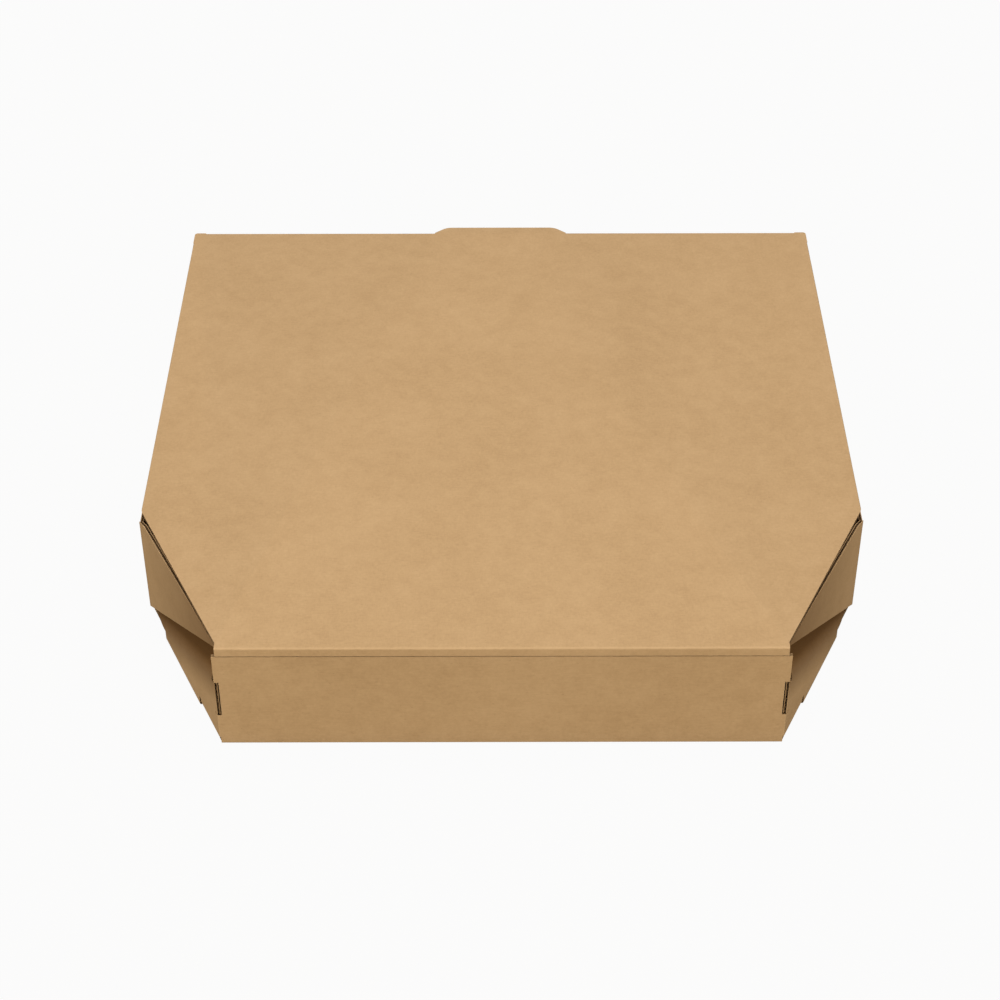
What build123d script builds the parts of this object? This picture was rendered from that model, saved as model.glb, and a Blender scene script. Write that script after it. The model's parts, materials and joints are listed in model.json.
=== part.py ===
from build123d import *
import math
import os

# Driving dimensions, in millimetres and degrees.
# The board is E-flute corrugated card, and the box is folded from one sheet of it.
board = 1.5
fold_radius = 1.2

# The lid's top panel, measured from the rear wall's outer face to the front fold.
lid_width = 305.0
lid_depth = 305.0
overall_height = 52.3
lid_corner_radius = 1.5

# The rear corners of the lid are cut off on a slant down to the hinge band.
slant_start = 82.8
slant_inset = 39.1
hinge_setback = 0.3
hinge_rise = 4.1

# The thumb tab at the lid's front edge, cut out of the front flap.
tab_base_width = 65.4
tab_tip_width = 54.0
tab_reach = 6.0
tab_corner_radius = 2.5
tab_cut_clearance = 0.6

# The flaps folded down from the lid.
side_flap_rear_setback = 2.2
side_flap_front_setback = 9.0
side_flap_end_taper = 7.0
side_flap_lean = 12.0
front_flap_end_gap = 5.5
front_flap_lean = 6.0
front_flap_end_taper = 9.0
flap_floor_clearance = 0.4

# The tray's walls, which end below the lid's panel, with the side walls' inner faces inside its edges.
rear_wall_overhang = 1.4
side_wall_inset = 0.6
side_wall_drop = 1.6
side_wall_drop_run = 1.2
lid_front_clearance = 0.5
layer_gap = 0.25
dust_flap_length = 62.0
dust_flap_top_gap = 2.0
lock_tab_width = 36.0
lock_tab_offset = 88.0
lock_tab_clearance = 0.4

# The floor's bevel at a rear corner, as a line from the side wall to the rear wall.
bevel_side_inset = 1.4
bevel_side_setback = 83.6
bevel_rear_inset = 1.8

# The bevel flap stands up from the middle of the bevel, behind the gusset.
bevel_flap_start = 20.2
bevel_flap_end = 66.5
bevel_flap_proud = 1.65
bevel_flap_bend = 28.0
bevel_flap_bend_start = 1.5
bevel_flap_bend_end = 35.0
bevel_flap_upper = 17.0
bevel_flap_lap = 14.0
bevel_flap_lap_foot = 4.0
bevel_flap_top_gap = 1.3
bevel_relief_width = 2.2
bevel_relief_height = 2.2
bevel_flap_wall_gap = 2.0
bevel_flap_foot_gap = 0.5

# The gusset is the side wall's tapered end, folded along the bevel outside the bevel flap.
gusset_proud = 1.25
gusset_turn = 1.6
gusset_foot = 0.8
gusset_top_gap = 0.4
gusset_shoulder = 1.5
gusset_tip_height = 0.8
gusset_wall_gap = 2.3

# The bevel flap's tab comes through a notch in the end of the rear wall.
notch_bottom = 16.5
notch_top = 33.7
notch_side_gap = 0.25
notch_end_gap = 0.4

# Sizes that follow from the ones above.
overall_depth = lid_depth + tab_reach
wall_height = overall_height - hinge_rise
side_wall_height = wall_height - side_wall_drop
hinge_width = lid_width - 2 * slant_inset
rear_wall_width = hinge_width + 2 * rear_wall_overhang
front_flap_width = lid_width - 2 * front_flap_end_gap
wall_inner_x = lid_width / 2 - side_wall_inset
wall_outer_x = wall_inner_x + board
front_inner_y = lid_depth + lid_front_clearance
front_gap = board + 2 * layer_gap
front_outer_y = front_inner_y + 2 * board + front_gap
lid_underside = overall_height - board
flap_foot = board + flap_floor_clearance

bevel_side = Vector(wall_outer_x - bevel_side_inset, bevel_side_setback, 0)
bevel_rear = Vector(rear_wall_width / 2 - bevel_rear_inset, 0, 0)
bevel_along = (bevel_rear - bevel_side).normalized()
bevel_out = Vector(-bevel_along.Y, bevel_along.X, 0)

# The upright fold between a side wall and its gusset, where their outer faces meet.
gusset_origin = bevel_side + bevel_out * gusset_proud
gusset_fold_reach = (wall_outer_x - gusset_origin.X) / bevel_along.X
gusset_fold_y = gusset_origin.Y + gusset_fold_reach * bevel_along.Y

# The outer face of the side walls' dust flaps, folded in behind the front wall's outer layer.
front_fold_y = front_outer_y - board - layer_gap

# How near an edge lies to a place to be found there, and how deep a cut goes to clear the board.
place_tolerance = 0.01
clear_cut = 3 * board


def slab(size_x, size_y, size_z, x, y, z):
    """A box with its centre at x and its lowest y and z at the given values."""
    return Pos(x, y, z) * Box(size_x, size_y, size_z, align=(Align.CENTER, Align.MIN, Align.MIN))


def panel(plane, points):
    """A flat panel of board: an outline on its outer face, with the board behind it."""
    return extrude(plane * make_face(Polyline(*points, close=True)), -board)


def both_sides(piece):
    """The piece and its mirror image in the middle plane of the box."""
    return piece + mirror(piece, about=Plane.YZ)


def bevel_plane(proud):
    """The upright plane that stands proud of the right-hand bevel, with y up and x towards the front."""
    return Plane(bevel_side + bevel_out * proud, x_dir=-bevel_along, z_dir=bevel_out)


def bevel_face_reach(proud, clear_y):
    """How far along the bevel an upright panel runs before its outer face comes to clear_y."""
    start_y = bevel_side.Y + bevel_out.Y * proud
    return (start_y - clear_y) / -bevel_along.Y


def straight_edges(piece, axis, **place):
    """The piece's straight edges along an axis that lie at the given x, y or z."""
    found = []
    for edge in piece.edges().filter_by(axis):
        centre = edge.center()
        spots = {"x": abs(centre.X), "y": centre.Y, "z": centre.Z}
        if all(abs(spots[name] - value) < place_tolerance for name, value in place.items()):
            found.append(edge)
    return found


def floor_panel():
    """The floor, with its two rear corners bevelled and the slots for the front wall's lock tabs."""
    outline = make_face(
        Polyline(
            (rear_wall_width / 2, 0),
            (rear_wall_width / 2, board),
            (bevel_side.X, bevel_side.Y),
            (wall_outer_x, gusset_fold_y),
            (wall_outer_x, front_outer_y),
            (-wall_outer_x, front_outer_y),
            (-wall_outer_x, gusset_fold_y),
            (-bevel_side.X, bevel_side.Y),
            (-rear_wall_width / 2, board),
            (-rear_wall_width / 2, 0),
            close=True,
        )
    )
    floor = extrude(outline, board)
    slot_width = lock_tab_width + 2 * lock_tab_clearance
    slot_depth = board + 2 * layer_gap
    for side in (-1, 1):
        slot_x = side * lock_tab_offset
        floor -= slab(slot_width, slot_depth, board, slot_x, front_inner_y - layer_gap, 0)
    return floor


def rear_wall():
    """The wall under the hinge, with a notch in each end for the bevel flaps' tabs."""
    wall = slab(rear_wall_width, board, wall_height, 0, 0, 0)
    tab_inner_x = bevel_rear.X + (bevel_flap_proud - board) / bevel_out.X
    notch_width = rear_wall_width / 2 - tab_inner_x + notch_side_gap
    notch_height = notch_top - notch_bottom + 2 * notch_end_gap
    for side in (-1, 1):
        notch_x = side * (rear_wall_width / 2 - notch_width / 2)
        wall -= slab(notch_width, board, notch_height, notch_x, 0, notch_bottom - notch_end_gap)
    return wall


def side_walls():
    """The two side walls, each with a dust flap that the front wall is rolled over."""
    plane = Plane((wall_outer_x, 0, 0), x_dir=(0, 1, 0), z_dir=(1, 0, 0))
    wall = panel(
        plane,
        [
            (gusset_fold_y, 0),
            (front_fold_y, 0),
            (front_fold_y, side_wall_height),
            (gusset_fold_y + side_wall_drop_run, side_wall_height),
            (gusset_fold_y, wall_height),
        ],
    )
    flap_height = wall_height - 2 * board - layer_gap - dust_flap_top_gap
    flap_x = wall_outer_x - dust_flap_length / 2
    flap = slab(dust_flap_length, board, flap_height, flap_x, front_fold_y - board, board + layer_gap)
    folded = wall + flap
    folded = fillet(straight_edges(folded, Axis.Z, x=wall_outer_x, y=front_fold_y), fold_radius)
    return both_sides(folded)


def front_wall():
    """The front wall, rolled over the side walls' dust flaps and locked into the floor by two tabs."""
    outer_width = 2 * wall_outer_x
    inner_width = 2 * (wall_inner_x - layer_gap)
    outer = slab(outer_width, board, wall_height, 0, front_outer_y - board, 0)
    inner_height = wall_height - board - layer_gap
    inner = slab(inner_width, board, inner_height, 0, front_inner_y, board + layer_gap)
    roll_depth = front_outer_y - front_inner_y
    roll = slab(inner_width, roll_depth, board, 0, front_inner_y, wall_height - board)
    wall = outer + inner + roll
    for side in (-1, 1):
        lock_x = side * lock_tab_offset
        wall += slab(lock_tab_width, board, board + layer_gap, lock_x, front_inner_y, 0)
    return wall


def bevel_flap():
    """The right-hand bevel flap: joined to the rear wall below its tab, and bent inwards behind the gusset."""
    plane = bevel_plane(bevel_flap_proud)
    wall_end = bevel_face_reach(bevel_flap_proud, board + bevel_flap_wall_gap)
    tab_end = bevel_face_reach(bevel_flap_proud, -board)
    foot = board + bevel_flap_foot_gap
    relief_end = bevel_flap_end + bevel_relief_width
    relief_top = foot + bevel_relief_height
    web_top = notch_bottom - notch_end_gap
    lower = panel(
        plane,
        [
            (-bevel_flap_start, 0),
            (-bevel_flap_end, 0),
            (-bevel_flap_end, relief_top),
            (-relief_end, relief_top),
            (-relief_end, foot),
            (-tab_end, foot),
            (-tab_end, web_top),
            (-wall_end, web_top),
            (-wall_end, notch_bottom),
            (-tab_end, notch_bottom),
            (-tab_end, notch_top),
            (-wall_end, notch_top),
            (-wall_end, bevel_flap_bend_end),
            (-bevel_flap_start, bevel_flap_bend_start),
        ],
    )
    lower -= slab(2 * wall_outer_x, clear_cut, wall_height, 0, -clear_cut, 0)

    bend_start = plane.from_local_coords((-bevel_flap_start, bevel_flap_bend_start, 0))
    bend_end = plane.from_local_coords((-wall_end, bevel_flap_bend_end, 0))
    bend_line = Axis(bend_start, bend_end - bend_start)
    upper_out = bevel_out.rotate(Axis((0, 0, 0), bend_line.direction), bevel_flap_bend)
    upper_plane = Plane(bend_start, x_dir=bend_start - bend_end, z_dir=upper_out)
    bend_slope = math.atan2(bevel_flap_bend_end - bevel_flap_bend_start, wall_end - bevel_flap_start)
    upper_rise = bevel_flap_upper / math.cos(bend_slope)
    lap_top = bevel_flap_bend_start - bevel_flap_lap * math.tan(bend_slope) + upper_rise
    flat_outline = [
        (bevel_flap_start, bevel_flap_bend_start),
        (wall_end, bevel_flap_bend_end),
        (wall_end, bevel_flap_bend_end + upper_rise),
        (bevel_flap_start - bevel_flap_lap, lap_top),
        (bevel_flap_start - bevel_flap_lap, bevel_flap_lap_foot),
    ]
    outline = []
    for reach, height in flat_outline:
        place = Vector(bevel_flap_start - reach, height - bevel_flap_bend_start)
        turned = place.rotate(Axis.Z, math.degrees(bend_slope))
        outline.append((turned.X, turned.Y))
    upper = panel(upper_plane, outline)
    limit_y = board + bevel_flap_wall_gap
    limit_top = lid_underside - bevel_flap_top_gap
    upper &= slab(2 * wall_outer_x, lid_depth, limit_top, 0, limit_y, 0)
    return lower + upper


def gusset():
    """The right-hand gusset: the side wall's rear end, tapered to a tip beside the hinge."""
    fold = Vector(wall_outer_x, gusset_fold_y, 0)
    plane = Plane(fold, x_dir=-bevel_along, z_dir=bevel_out).rotated((0, 0, -gusset_turn))
    top = lid_underside - gusset_top_gap
    tip_reach = (gusset_fold_y - board - gusset_wall_gap) / plane.x_dir.Y
    return panel(
        plane,
        [
            (0, gusset_foot),
            (-tip_reach, top - gusset_tip_height),
            (-tip_reach, top),
            (-gusset_shoulder, top),
            (0, wall_height),
        ],
    )


def tray():
    """The lower half of the box: floor, walls, bevel flaps and gussets, all one sheet."""
    body = floor_panel() + rear_wall() + side_walls() + front_wall()
    folds = straight_edges(body, Axis.Y, x=wall_outer_x, z=0)
    folds += straight_edges(body, Axis.X, y=0, z=0)
    folds += straight_edges(body, Axis.X, y=front_outer_y, z=0)
    folds += straight_edges(body, Axis.X, y=front_outer_y, z=wall_height)
    folds += straight_edges(body, Axis.X, y=front_inner_y, z=wall_height)
    body = fillet(folds, fold_radius)
    return body + both_sides(gusset()) + both_sides(bevel_flap())


def thumb_tab(clearance=0.0):
    """The outline of the thumb tab in front of the lid's edge, grown by a clearance."""
    base = tab_base_width / 2 + clearance
    tip = tab_tip_width / 2 + clearance
    reach = tab_reach + clearance
    face = make_face(Polyline((-base, -board), (base, -board), (base, 0), (tip, reach), (-tip, reach),
                              (-base, 0), close=True))
    corners = face.vertices().sort_by(Axis.Y)[-2:]
    return fillet(corners, tab_corner_radius)


def lid_panel():
    """The top panel with its slanted rear corners, its thumb tab and the two-crease hinge band."""
    half = lid_width / 2
    outline = make_face(
        Polyline(
            (hinge_width / 2, hinge_setback),
            (half, slant_start),
            (half, lid_depth),
            (-half, lid_depth),
            (-half, slant_start),
            (-hinge_width / 2, hinge_setback),
            close=True,
        )
    )
    outline = fillet(outline.vertices().sort_by(Axis.Y)[-2:], lid_corner_radius)
    outline += Pos(0, lid_depth) * thumb_tab()
    top = extrude(Pos(0, 0, lid_underside) * outline, board)
    band_profile = Plane.YZ * make_face(
        Polyline(
            (0, wall_height),
            (board, wall_height),
            (hinge_setback + board, lid_underside),
            (hinge_setback + board, overall_height),
            (hinge_setback, overall_height),
            close=True,
        )
    )
    band = extrude(band_profile, hinge_width / 2, both=True)
    return top + band


def lid_side_flap():
    """The right-hand flap, which leans in from the lid's edge to clear the tray's side wall."""
    rear_y = slant_start + side_flap_rear_setback
    front_y = lid_depth - side_flap_front_setback
    plane = Plane((lid_width / 2, 0, lid_underside), x_dir=(0, 1, 0), z_dir=(1, 0, 0))
    plane = plane.rotated((0, side_flap_lean, 0))
    drop = (lid_underside - flap_foot) / math.cos(math.radians(side_flap_lean))
    return panel(
        plane,
        [
            (rear_y, 0),
            (rear_y + side_flap_end_taper, -drop),
            (front_y - side_flap_end_taper, -drop),
            (front_y, 0),
        ],
    )


def lid_front_flap():
    """The tuck flap, which leans back from the front wall and has the thumb tab's cut-out."""
    fold_z = overall_height - fold_radius
    plane = Plane((0, lid_depth, fold_z), x_dir=(-1, 0, 0), z_dir=(0, 1, 0))
    plane = plane.rotated((-front_flap_lean, 0, 0))
    drop = (fold_z - flap_foot) / math.cos(math.radians(front_flap_lean))
    half = front_flap_width / 2
    flap = panel(
        plane,
        [
            (-half, 0),
            (-half + front_flap_end_taper, -drop),
            (half - front_flap_end_taper, -drop),
            (half, 0),
        ],
    )
    cut = plane * extrude(Rotation(180, 0, 0) * thumb_tab(tab_cut_clearance), clear_cut, both=True)
    return flap - cut


def lid():
    """The upper half of the box: top panel, hinge band and three flaps, all one sheet."""
    body = lid_panel() + both_sides(lid_side_flap()) + lid_front_flap()
    folds = straight_edges(body, Axis.Y, x=lid_width / 2, z=overall_height)
    folds += straight_edges(body, Axis.X, y=lid_depth, z=overall_height)
    return fillet(folds, fold_radius)


os.makedirs("parts", exist_ok=True)
to_frame = Pos(0, -overall_depth / 2, 0)
for name, piece in (("tray", tray()), ("lid", lid())):
    export_step(to_frame * piece, f"parts/{name}.step")
    print(name, len(piece.solids()), "solids", round(piece.volume), "mm3")
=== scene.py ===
"""A closed pizza box of brown corrugated board.

Each half, lid and tray, is one folded sheet of two liners with their fluting between them.
"""

import json
import logging
import math
from abc import ABC, abstractmethod
from dataclasses import dataclass
from enum import Enum
from typing import ClassVar, Iterable, Sequence

import bmesh
import bpy
from mathutils import Matrix, Vector
from mathutils.geometry import intersect_point_line


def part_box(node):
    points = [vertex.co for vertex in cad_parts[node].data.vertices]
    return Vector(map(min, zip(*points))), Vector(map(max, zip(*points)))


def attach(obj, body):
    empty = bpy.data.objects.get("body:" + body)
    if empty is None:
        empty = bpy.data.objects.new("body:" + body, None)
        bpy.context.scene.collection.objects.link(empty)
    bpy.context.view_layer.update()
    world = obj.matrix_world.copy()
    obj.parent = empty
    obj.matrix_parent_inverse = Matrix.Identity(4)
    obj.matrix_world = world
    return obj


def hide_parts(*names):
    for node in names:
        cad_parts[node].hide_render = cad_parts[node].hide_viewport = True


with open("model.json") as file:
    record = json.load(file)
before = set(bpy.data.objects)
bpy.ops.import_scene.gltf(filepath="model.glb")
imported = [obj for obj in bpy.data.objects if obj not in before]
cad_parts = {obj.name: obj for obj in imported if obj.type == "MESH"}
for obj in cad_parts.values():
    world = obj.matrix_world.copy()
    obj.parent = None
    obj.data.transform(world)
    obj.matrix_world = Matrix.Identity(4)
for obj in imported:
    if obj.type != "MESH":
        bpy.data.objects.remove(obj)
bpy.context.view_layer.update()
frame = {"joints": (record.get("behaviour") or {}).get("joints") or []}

log = logging.getLogger("pizza_box")

X = Vector((1, 0, 0))
Y = Vector((0, 1, 0))
Z = Vector((0, 0, 1))
FOLD_ATTRIBUTE = "fold"
# The mesh attribute of painted shade: how far each vertex of an outer liner is darkened, standing in for
# the shadow on the bevel flap and the gusset's tip.
PAINTED_SHADE_ATTRIBUTE = "tuck"
TOUCH = 2e-5
CUT = 1e-6
QUARTER = math.pi / 2

Colour = tuple[float, float, float]
Socket = bpy.types.NodeSocket
Outline = tuple[tuple[float, float], ...]


class Ray(Enum):
    """The kinds of ray that see the white surroundings instead of the light that they give."""

    CAMERA = "Is Camera Ray"
    GLOSSY = "Is Glossy Ray"
    TRANSMISSION = "Is Transmission Ray"


class Layer(Enum):
    """The two liners of the board.

    The outer one is creased tightly, and the inner one is pressed round behind it.
    """

    OUTER = "outer"
    INNER = "inner"


@dataclass(frozen=True)
class Board:
    """The corrugated board, in metres."""

    thickness: float = 0.0015
    liner: float = 0.0003
    medium: float = 0.00016
    pitch: float = 0.0031
    outer_radius: float = 0.0009
    inner_radius: float = 0.0017
    fold_steps: int = 6
    round_steps: int = 4
    flute_steps: int = 10
    flute_inset: float = 0.00012
    liner_smooth: float = math.radians(28)
    fluting_smooth: float = math.radians(40)

    def radius(self, layer: Layer) -> float:
        """The radius of the outer face that a liner is folded by."""
        return self.outer_radius if layer is Layer.OUTER else self.inner_radius

    @property
    def swing(self) -> float:
        """How far the middle of the fluting paper swings to each side."""
        return (self.thickness - 2 * self.liner - self.medium) / 2


@dataclass(frozen=True)
class BoxSizes:
    """The folded box, in metres, with depths measured from the rear wall's outer face."""

    half_lid: float
    lid_top: float
    rear: float
    tab_tip: float
    half_tray: float
    tray_front: float
    wall_top: float
    slant_start: float = 0.0862
    slant_end: float = 0.0037
    slant_inset: float = 0.0391
    hinge_setback: float = 0.0003
    tab_base: float = 0.0327
    tab_end: float = 0.027
    tab_reach: float = 0.006
    tab_round: float = 0.0025
    tab_droop: float = 0.0007
    tab_gap: float = 0.0006
    lid_round: float = 0.0015
    flap_rear: float = 0.0022
    flap_front: float = 0.009
    flap_taper: float = 0.007
    flap_lean: float = math.radians(12)
    tuck_end_gap: float = 0.0055
    tuck_lean: float = math.radians(6)
    tuck_taper: float = 0.009
    flap_foot: float = 0.0019
    wall_overhang: float = 0.0014
    side_top: float = 0.0466
    side_drop_run: float = 0.0012
    crease_gap: float = 0.00018
    bevel_side_inset: float = 0.0014
    bevel_side: float = 0.0836
    bevel_rear_inset: float = 0.0018
    gusset_proud: float = 0.00125
    gusset_turn: float = math.radians(1.6)
    gusset_top: float = 0.0504
    gusset_tip: float = 0.0496
    gusset_shoulder: float = 0.0065
    gusset_tip_depth: float = 0.0038
    gusset_tip_shade: float = 0.75
    flap_proud: float = 0.00165
    flap_lap: float = 0.0163
    flap_lap_foot: float = 0.004
    flap_start: float = 0.0225
    flap_end: float = 0.0665
    flap_wall_gap: float = 0.0021
    flap_upper: float = 0.017
    flap_head_reach: float = 0.004
    flap_top: float = 0.0495
    bend_foot: float = 0.005
    bend_head: float = 0.035
    relief: float = 0.0022
    relief_top: float = 0.0052
    web_foot: float = 0.0038
    notch_bottom: float = 0.0161
    notch_top: float = 0.0341
    notch_gap: float = 0.0004
    notch_width: float = 0.00188
    front_depth: float = 0.005
    dust_setback: float = 0.00175
    dust_length: float = 0.062
    dust_top: float = 0.0447
    lock_middle: float = 0.088
    lock_half: float = 0.018
    lock_gap: float = 0.0004
    slot_depth: float = 0.002
    layer_gap: float = 0.00025

    @classmethod
    def from_frame(cls) -> "BoxSizes":
        """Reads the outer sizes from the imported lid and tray.

        Returns:
            The sizes of the box.
        """
        lid_low, lid_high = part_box("lid")
        tray_low, tray_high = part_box("tray")
        hinge = frame["joints"][0]["pos_m"]
        return cls(
            half_lid=lid_high.x,
            lid_top=lid_high.z,
            rear=tray_low.y,
            tab_tip=lid_high.y,
            half_tray=tray_high.x,
            tray_front=tray_high.y,
            wall_top=hinge[2],
        )

    @property
    def lid_front(self) -> float:
        """The lid's front fold line."""
        return self.tab_tip - self.tab_reach

    @property
    def half_hinge(self) -> float:
        """Half the length of the hinge band."""
        return self.half_lid - self.slant_inset

    @property
    def half_rear(self) -> float:
        """Half the length of the rear wall."""
        return self.half_hinge + self.wall_overhang

    @property
    def bevel_start(self) -> Vector:
        """Where the floor's bevel leaves the side wall."""
        return Vector((self.half_tray - self.bevel_side_inset, self.rear + self.bevel_side, 0))

    @property
    def bevel_along(self) -> Vector:
        """The direction of the bevel, from the side wall to the rear wall."""
        end = Vector((self.half_rear - self.bevel_rear_inset, self.rear, 0))
        return (end - self.bevel_start).normalized()

    @property
    def bevel_out(self) -> Vector:
        """The direction out of the box, square to the bevel."""
        along = self.bevel_along
        return Vector((-along.y, along.x, 0))

    def on_bevel(self, reach: float, height: float, proud: float) -> Vector:
        """A place on the upright plane of the bevel.

        Args:
            reach: Distance along the bevel from the side wall.
            height: Height above the floor's outer face.
            proud: Distance out of the box from the bevel.

        Returns:
            The place in the box's frame.
        """
        return self.bevel_start + self.bevel_along * reach + self.bevel_out * proud + Z * height

    def bevel_reach(self, proud: float, depth: float) -> float:
        """How far along the bevel a face comes to a depth behind the rear wall's outer face.

        Args:
            proud: Distance of the face out of the box from the bevel.
            depth: Depth from the rear wall's outer face.

        Returns:
            The distance along the bevel.
        """
        start = self.bevel_side + self.bevel_out.y * proud
        return (start - depth) / -self.bevel_along.y

    @property
    def gusset_corner(self) -> Vector:
        """The foot of the fold between the side wall and its gusset."""
        start = self.bevel_start + self.bevel_out * self.gusset_proud
        return start + self.bevel_along * ((self.half_tray - start.x) / self.bevel_along.x)

    @property
    def gusset_along(self) -> Vector:
        """The direction of the gusset from that fold to its tip, turned inwards from the bevel."""
        return Matrix.Rotation(-self.gusset_turn, 3, Z) @ self.bevel_along

    @property
    def gusset_reach(self) -> float:
        """The length of the gusset from its fold to its tip."""
        return (self.gusset_corner.y - self.rear - self.gusset_tip_depth) / -self.gusset_along.y


@dataclass(frozen=True)
class Bow:
    """A soft bend of a flap over a straight line, with painted shade on the flap across and above the line.
    """

    width: float = 0.007
    angle: float = math.radians(48)
    steps: int = 8
    fade_start: float = -0.012
    fade_end: float = 0.006

    def apply(self, piece: bpy.types.Object, start: Vector, end: Vector, out: Vector) -> None:
        """Bends a piece inwards beyond a line, evenly over the bend's width, and paints shade that deepens
        across the line.

        Args:
            piece: The piece.
            start: One end of the line.
            end: The other end.
            out: The direction that the piece faces.
        """
        line = (end - start).normalized()
        rise = out.cross(line)
        if rise.z < 0:
            rise = -rise
        reaches = [self.width * (step + 0.5) / self.steps for step in range(self.steps)]
        use(piece)
        bpy.ops.object.mode_set(mode="EDIT")
        for reach in (self.fade_start, self.fade_start / 2, 0.0, *reaches):
            bpy.ops.mesh.select_all(action="SELECT")
            bpy.ops.mesh.bisect(plane_co=start + rise * reach, plane_no=rise, threshold=CUT)
        turn = Matrix.Rotation(self.angle / self.steps, 3, line)
        if (turn @ rise).dot(out) > 0:
            turn = turn.inverted()
        mesh = bmesh.from_edit_mesh(piece.data)
        beyond = {vertex: (vertex.co - start).dot(rise) for vertex in mesh.verts}
        # Painted shade: none well below the line, rising across it to full above it, standing in for the
        # shadow that the gusset and the lid cast on the bowed flap.
        tuck = mesh.verts.layers.float.get(PAINTED_SHADE_ATTRIBUTE)
        if tuck is not None:
            for vertex, depth in beyond.items():
                share = (depth - self.fade_start) / (self.fade_end - self.fade_start)
                vertex[tuck] = min(1.0, max(0.0, share))
        for reach in reversed(reaches):
            place = start + rise * reach
            for vertex, depth in beyond.items():
                if depth > reach + TOUCH:
                    vertex.co = place + turn @ (vertex.co - place)
        bmesh.update_edit_mesh(piece.data)
        deselect()


def deselect() -> None:
    """Leaves edit mode and selects nothing."""
    if bpy.context.object and bpy.context.object.mode != "OBJECT":
        bpy.ops.object.mode_set(mode="OBJECT")
    bpy.ops.object.select_all(action="DESELECT")


def use(piece: bpy.types.Object) -> None:
    """Makes a piece the only one selected."""
    deselect()
    piece.select_set(True)
    bpy.context.view_layer.objects.active = piece


def apply_modifier(piece: bpy.types.Object, kind: str, **settings: object) -> None:
    """Adds a modifier to a piece and applies it.

    Args:
        piece: The piece that is changed.
        kind: The modifier's type.
        settings: The modifier's values by name.
    """
    use(piece)
    modifier = piece.modifiers.new(kind.title(), kind)
    for name, value in settings.items():
        setattr(modifier, name, value)
    bpy.ops.object.modifier_apply(modifier=modifier.name)


def join(pieces: Sequence[bpy.types.Object], name: str) -> bpy.types.Object:
    """Joins several pieces into the first one.

    Args:
        pieces: The pieces, which are used up.
        name: The name of the joined piece.

    Returns:
        The joined piece.
    """
    use(pieces[0])
    for piece in pieces:
        piece.select_set(True)
    bpy.ops.object.join()
    pieces[0].name = name
    return pieces[0]


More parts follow.
